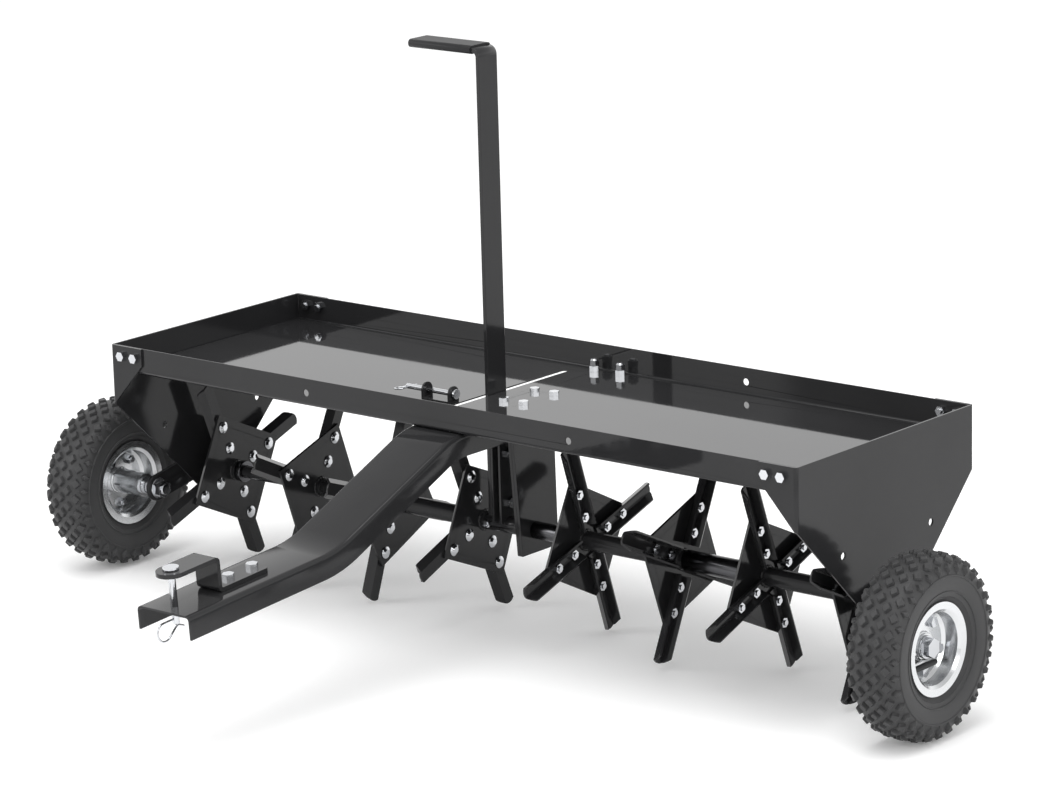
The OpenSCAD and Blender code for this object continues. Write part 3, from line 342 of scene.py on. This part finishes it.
for half, sunk, edge in ((TONGUE_HALF, 0.0, TONGUE_EDGE),
                         (TONGUE_HALF - TONGUE_SHEET, TONGUE_SHEET, TONGUE_EDGE - TONGUE_SHEET)):
    side = [(half, TONGUE_DEPTH)]
    for k in range(EDGE_STEPS + 1):
        a = math.pi / 2 * k / EDGE_STEPS
        side.append((half - edge + edge * math.cos(a), sunk + edge - edge * math.sin(a)))
    band = side + [(-x, d) for x, d in reversed(side)]
    section += band if not section else band[::-1]
points = [(x, at.x + d * math.sin(a), at.y - d * math.cos(a)) for at, a in stations for x, d in section]
n = len(section)
faces = [
    (i * n + j, i * n + (j + 1) % n, (i + 1) * n + (j + 1) % n, (i + 1) * n + j)
    for i in range(len(stations) - 1) for j in range(n)
]
for first, turn in ((0, 1), ((len(stations) - 1) * n, -1)):
    for j in range(n // 2 - 1):
        faces.append(tuple(first + k for k in (j + 1, j, n - 1 - j, n - 2 - j))[::turn])
tongue = new_piece("tongue_channel", points, faces, beam_coat, "frame")
# The hole for the hitch pin is cut out of the channel's tip, square to its top.
pin_axis = Vector((0, -math.sin(slopes[0]), math.cos(slopes[0])))
drill_mesh = bpy.data.meshes.new("drill")
across_pin = pin_axis.cross(Vector((1, 0, 0)))
ring = []
for k in range(DRILL_SIDES):
    a = 2 * math.pi * k / DRILL_SIDES
    ring.append(Vector((PIN_HOLE_RADIUS * math.cos(a), 0, 0)) + across_pin * PIN_HOLE_RADIUS * math.sin(a))
pin_foot = Vector((
    0,
    tongue_low.y + PIN_FROM_TIP * math.cos(slopes[0]),
    tongue_high.z - TIP_DROP + PIN_FROM_TIP * math.sin(slopes[0]),
))
sides = []
for k in range(DRILL_SIDES):
    m = (k + 1) % DRILL_SIDES
    sides.append((k, m, DRILL_SIDES + m, DRILL_SIDES + k))
caps = [tuple(range(DRILL_SIDES - 1, -1, -1)), tuple(range(DRILL_SIDES, 2 * DRILL_SIDES))]
drill_mesh.from_pydata(
    [pin_foot + turn * DRILL_HALF * pin_axis + r for turn in (-1, 1) for r in ring], [], sides + caps)
drill = bpy.data.objects.new("drill", drill_mesh)
bpy.context.scene.collection.objects.link(drill)
bore = tongue.modifiers.new("bore", "BOOLEAN")
bore.object = drill
bore.solver = "EXACT"
bored = bpy.data.meshes.new_from_object(tongue.evaluated_get(bpy.context.evaluated_depsgraph_get()))
tongue.modifiers.clear()
tongue.data = bored
bpy.data.objects.remove(drill)
for face in bored.polygons:
    face.use_smooth = True
bored.set_sharp_from_angle(angle=CREASE_ANGLE)
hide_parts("tongue")

# Bolts, pins and clips
# Steel hardware with bright zinc plating: hexagon bolts on the frame, lever, axles and rims,
# round-headed bolts on the tines, and the headed pins of the hitch and the lever's lock.
zinc = finish_material("zinc", (0.56, 0.57, 0.59), 0.11, metal=1.0, peel=900.0, relief=0.03)
dress(["hitch_bolts", "tray_bolts", "end_bolts", "lever_bolts", "axle_bolts"], zinc, 0.0006)
dress([f"tine_bolts_{i}" for i in range(1, 9)], zinc, 0.0005)
dress(["rim_bolts_left", "rim_bolts_right"], zinc, 0.0005)
dress(["hitch_pin", "lock_pin"], zinc, 0.0005)
dress(["hitch_clip", "lock_clip"], zinc)

# Lift shaft and lever
# A black steel rod with tubes and collars on it, running in plastic bushes in the end plates.
# The wheel arms are welded to it, and the flat lever is bolted in a channel on its left tube.
dress(["shaft_bushes"], finish_material("bush_plastic", (0.02, 0.02, 0.021), 0.45))
dress(["lift_shaft", "shaft_sleeves"], beam_coat, 0.0004)
dress(["shaft_spacers"], finish_material("oiled_steel", (0.09, 0.09, 0.095), 0.22, metal=1.0), 0.0004)
dress(["wheel_arm_left", "wheel_arm_right", "lever_bracket"], beam_coat, 0.0006)
dress(["lever"], beam_coat, 0.0008)
grip_rubber = finish_material("grip_rubber", (0.012, 0.012, 0.013), 0.42, peel=500.0, relief=0.08)
dress(["lever_grip"], grip_rubber, 0.0008)

# Spools
# Eight square steel plates welded on short tubes that turn on the shaft, coated like the end plates.
# Each carries four tines pressed into troughs, held by two bolts apiece.
dress([f"spool_plate_{i}" for i in range(1, 9)], plate_coat, 0.0004)
dress([f"tines_{i}" for i in range(1, 9)], beam_coat, 0.0005)

# Weld beads
# Fillet welds where the spools' tubes meet their plates and where the shaft meets the wheel arms.
# They are laid by hand, so they ripple, and the black coat goes over them.
SPOOL_WELD_RADIUS, SPOOL_WELD_LEG = 0.0136, 0.0026
ARM_WELD_RADIUS, ARM_WELD_LEG = 0.0098, 0.0018
RIPPLE_FINE, RIPPLE_COARSE = 0.13, 0.07
TINES_TO_PLATE_MIDDLE = 0.0022
PLATE_HALF = 0.002
WELD_PROUD = 0.0002


def weld_bead(name, body, centre, radius, leg, material, around=72, across=8):
    """Ring of weld round the X axis through centre, with ripples along it."""
    points, faces = [], []
    for i in range(around):
        a = 2 * math.pi * i / around
        swell = leg * (1 + RIPPLE_FINE * math.sin(18 * a) + RIPPLE_COARSE * math.sin(5 * a + 1))
        for j in range(across):
            b = 2 * math.pi * j / across
            out = radius + swell * math.cos(b)
            points.append((
                centre[0] + swell * math.sin(b),
                centre[1] + out * math.cos(a),
                centre[2] + out * math.sin(a),
            ))
    for i in range(around):
        for j in range(across):
            k, m = (i + 1) % around, (j + 1) % across
            faces.append((i * across + j, k * across + j, k * across + m, i * across + m))
    bead = new_piece(name, points, faces, material, body)
    for face in bead.data.polygons:
        face.use_smooth = True


shaft_low, shaft_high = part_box("lift_shaft")
shaft_y = (shaft_low.y + shaft_high.y) / 2
shaft_z = (shaft_low.z + shaft_high.z) / 2
for i in range(1, 9):
    tines_low, tines_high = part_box(f"tines_{i}")
    plate_x = tines_high.x + TINES_TO_PLATE_MIDDLE if i < 5 else tines_low.x - TINES_TO_PLATE_MIDDLE
    for way in (-1, 1):
        weld_bead(f"spool_weld_{i}_{'in' if way < 0 else 'out'}", f"spool_{i}",
                  (plate_x + way * PLATE_HALF, shaft_y, shaft_z),
                  SPOOL_WELD_RADIUS, SPOOL_WELD_LEG, plate_coat)
for side, way in (("left", -1), ("right", 1)):
    arm_face = max(abs(corner.x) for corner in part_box(f"wheel_arm_{side}"))
    weld_bead(f"arm_weld_{side}", "lift", (way * (arm_face + WELD_PROUD), shaft_y, shaft_z),
              ARM_WELD_RADIUS, ARM_WELD_LEG, beam_coat)

# Wheel rims
# Two pressed steel halves in silver lacquer, bolted together round a hub tube that is welded in.
# A rubber valve stem comes out through the outer half.
HUB_WELD_RADIUS, HUB_WELD_LEG = 0.0184, 0.0021
RIM_FACE = 0.0028
rim_coat = finish_material("rim_coat", (0.66, 0.67, 0.68), 0.17, metal=0.95)
valve_rubber = finish_material("valve_rubber", (0.012, 0.012, 0.013), 0.4, peel=500.0)
for side, way in (("left", -1), ("right", 1)):
    dress([f"rim_{side}", f"hub_{side}"], rim_coat)
    dress([f"valve_{side}"], valve_rubber)
    hub_low, hub_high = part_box(f"hub_{side}")
    axle_y, axle_z = (hub_low.y + hub_high.y) / 2, (hub_low.z + hub_high.z) / 2
    rim_x = sum(corner.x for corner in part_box(f"rim_{side}")) / 2
    for label, out in (("out", RIM_FACE), ("in", -RIM_FACE)):
        weld_bead(f"hub_weld_{side}_{label}", f"wheel_{side}", (rim_x + way * out, axle_y, axle_z),
                  HUB_WELD_RADIUS, HUB_WELD_LEG, rim_coat)

# Tyres
# Small pneumatic tyres of black rubber on the rims, moulded with five rows of diamond studs,
# pointed lugs on the shoulders, and two thin rings on each side wall.
TYRE_OUTLINE = (  # radius and distance from the middle plane, from the crown to the bead
    (0.1218, 0.0), (0.1217, 0.010), (0.1208, 0.020), (0.1180, 0.028), (0.1120, 0.0338), (0.1045, 0.0366),
    (0.1012, 0.0371), (0.1004, 0.0384), (0.0986, 0.0385), (0.0978, 0.0374), (0.0900, 0.0373),
    (0.0820, 0.0362), (0.0790, 0.0355), (0.0784, 0.0364), (0.0772, 0.0360), (0.0766, 0.0346),
    (0.0750, 0.0338), (0.0722, 0.0328), (0.0712, 0.0330), (0.0700, 0.0312), (0.0665, 0.0282),
    (0.0642, 0.0262), (0.0553, 0.0250), (0.0520, 0.0226),
)
TYRE_ROUND = 144
STUDS_ROUND = 32
STUD_HEIGHT = 0.0052
STUD_SUNK = 0.0012
STUD_LONG, STUD_WIDE, STUD_TOP = 0.0093, 0.0082, 0.68
ROW_PITCH = 0.0138
SHOULDER_AT = 0.0385
LUG_LONG, LUG_OUTER, LUG_INNER, LUG_TOP = 0.0066, 0.0105, 0.0075, 0.5
OUTER_RADIUS = 0.1272
STUD_ROUNDING = 0.0006
tyre_rubber = finish_material("tyre_rubber", (0.042, 0.042, 0.043), 0.46, peel=700.0, relief=0.12)


def tyre_surface(along):
    """Radius, X and outward direction at a distance along the casing from the crown; below 0 is the left."""
    left, want = along < 0, abs(along)
    for (r0, x0), (r1, x1) in zip(TYRE_OUTLINE, TYRE_OUTLINE[1:]):
        span = math.hypot(r1 - r0, x1 - x0)
        if want <= span:
            t = want / span
            out = Vector((x1 - x0, r0 - r1)).normalized()
            radius, x, nr, nx = r0 + (r1 - r0) * t, x0 + (x1 - x0) * t, out.x, out.y
            return radius, (-x if left else x), nr, (-nx if left else nx)
        want -= span
    raise ValueError("past the bead")


def stud(centre_along, centre_angle, long_half, wide_out, wide_in, top_size):
    """Four low and four high corners of one stud, as (radius, X, angle)."""
    low, high = [], []
    for da, db in ((1, 0), (0, 1), (-1, 0), (0, -1)):
        for store, size, lift in ((low, 1.0, -STUD_SUNK), (high, top_size, STUD_HEIGHT)):
            along = centre_along + db * size * (wide_out if db * centre_along >= 0 else wide_in)
            radius, x, nr, nx = tyre_surface(along)
            top = min(radius + nr * lift, OUTER_RADIUS)
            store.append((top, x + nx * lift, centre_angle + da * size * long_half / radius))
    return low + high


for side in ("left", "right"):
    low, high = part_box(f"tyre_{side}")
    centre = (low + high) / 2
    outline = [(r, -x) for r, x in reversed(TYRE_OUTLINE[1:])] + list(TYRE_OUTLINE)
    points = [
        (centre.x + x, centre.y + r * math.cos(a), centre.z + r * math.sin(a))
        for a in (2 * math.pi * i / TYRE_ROUND for i in range(TYRE_ROUND)) for r, x in outline
    ]
    n = len(outline)
    faces = []
    for i in range(TYRE_ROUND):
        here, there = i * n, (i + 1) % TYRE_ROUND * n
        for j in range(n):
            k = (j + 1) % n
            faces.append((here + j, there + j, there + k, here + k))
    casing = new_piece(f"tyre_casing_{side}", points, faces, tyre_rubber, f"wheel_{side}")
    for face in casing.data.polygons:
        face.use_smooth = True
    casing.data.set_sharp_from_angle(angle=CREASE_ANGLE)
    points, faces = [], []
    step = 2 * math.pi / STUDS_ROUND
    for i in range(STUDS_ROUND):
        corners = [
            stud(row * ROW_PITCH, (i + abs(row) % 2 / 2) * step, STUD_LONG, STUD_WIDE, STUD_WIDE, STUD_TOP)
            for row in (-2, -1, 0, 1, 2)
        ]
        corners += [
            stud(end * SHOULDER_AT, (i + 0.5) * step, LUG_LONG, LUG_OUTER, LUG_INNER, LUG_TOP)
            for end in (-1, 1)
        ]
        for eight in corners:
            first = len(points)
            points += [
                (centre.x + x, centre.y + r * math.cos(a), centre.z + r * math.sin(a)) for r, x, a in eight
            ]
            faces.append([first + k for k in (4, 5, 6, 7)])
            for k in range(4):
                m = (k + 1) % 4
                faces.append([first + k, first + m, first + 4 + m, first + 4 + k])
    studs = new_piece(f"tyre_studs_{side}", points, faces, tyre_rubber, f"wheel_{side}")
    worn = studs.modifiers.new("worn", "BEVEL")
    worn.width = STUD_ROUNDING
    worn.segments = 1
    worn.limit_method = "ANGLE"
    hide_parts(f"tyre_{side}")

# Spring clips
# Hairpin clips bent from springy zinc-plated wire: a straight leg goes through the cross hole of the pin,
# a pear-shaped loop stands in front, and a waved leg grips the pin from outside.
HITCH_WIRE, HITCH_LOOP, HITCH_FORE, HITCH_BACK, HITCH_APART = 0.0028, 0.012, 0.0245, 0.018, 0.0108
LOCK_WIRE, LOCK_LOOP, LOCK_FORE, LOCK_BACK, LOCK_APART = 0.0022, 0.008, 0.013, 0.014, 0.0072
LOOP_POINTS = 18
LOOP_STEP = math.radians(12.5)
HITCH_CLIP_BELOW = 0.017
LOCK_CLIP_FROM_END = 0.005


def clip_path(ring, fore, back, apart, wire):
    """Points (side, along, below) from the straight leg's end, round the loop, to the outer leg's end."""
    path = [(0, back, 0), (0, 0, 0), (0, -fore * 0.7, 0)]
    for k in range(LOOP_POINTS):
        a = math.pi / 2 + k * LOOP_STEP
        aside = wire * 1.05 * k / (LOOP_POINTS - 1)
        path.append((aside, -fore + ring * math.cos(a), -(ring - ring * math.sin(a))))
    path += [
        (wire * 0.8, -fore * 0.25, -apart * 1.2), (0, back * 0.1, -apart * 0.9),
        (0, back * 0.42, -apart * 1.05), (0, back * 0.75, -apart * 1.35),
    ]
    return path


def wire_clip(name, body, node, path, wire, place):
    """Round wire bent along a path, whose points place() puts on the machine."""
    curve = bpy.data.curves.new(name, "CURVE")
    curve.dimensions = "3D"
    curve.bevel_depth = wire / 2
    curve.bevel_resolution = 4
    curve.use_fill_caps = True
    line = curve.splines.new("NURBS")
    line.points.add(len(path) - 1)
    for point, at in zip(line.points, path):
        point.co = (*place(*at), 1)
    line.use_endpoint_u = True
    line.order_u = 3
    line.resolution_u = 6
    curve.materials.append(zinc)
    made = bpy.data.objects.new(name, curve)
    bpy.context.scene.collection.objects.link(made)
    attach(made, body)
    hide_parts(node)


def hitch_place(side, along, below):
    """Point of the hitch clip: along runs back over the tongue's slope, below is square to it."""
    c, s = math.cos(slopes[0]), math.sin(slopes[0])
    return (side, hitch_clip_at.y + along * c - below * s, hitch_clip_at.z + along * s + below * c)


hitch_clip_at = pin_foot - HITCH_CLIP_BELOW * pin_axis
wire_clip("hitch_clip_wire", "hitch_clip", "hitch_clip",
          clip_path(HITCH_LOOP, HITCH_FORE, HITCH_BACK, HITCH_APART, HITCH_WIRE), HITCH_WIRE, hitch_place)


def lock_place(side, along, below):
    """Point of the lock clip: it lies flat near the lock pin's left end, with its loop to the front."""
    middle = (lock_low + lock_high) / 2
    return (lock_low.x + LOCK_CLIP_FROM_END + below, middle.y + along, middle.z - side)


lock_low, lock_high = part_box("lock_pin")
wire_clip("lock_clip_wire", "lock_clip", "lock_clip",
          clip_path(LOCK_LOOP, LOCK_FORE, LOCK_BACK, LOCK_APART, LOCK_WIRE), LOCK_WIRE, lock_place)
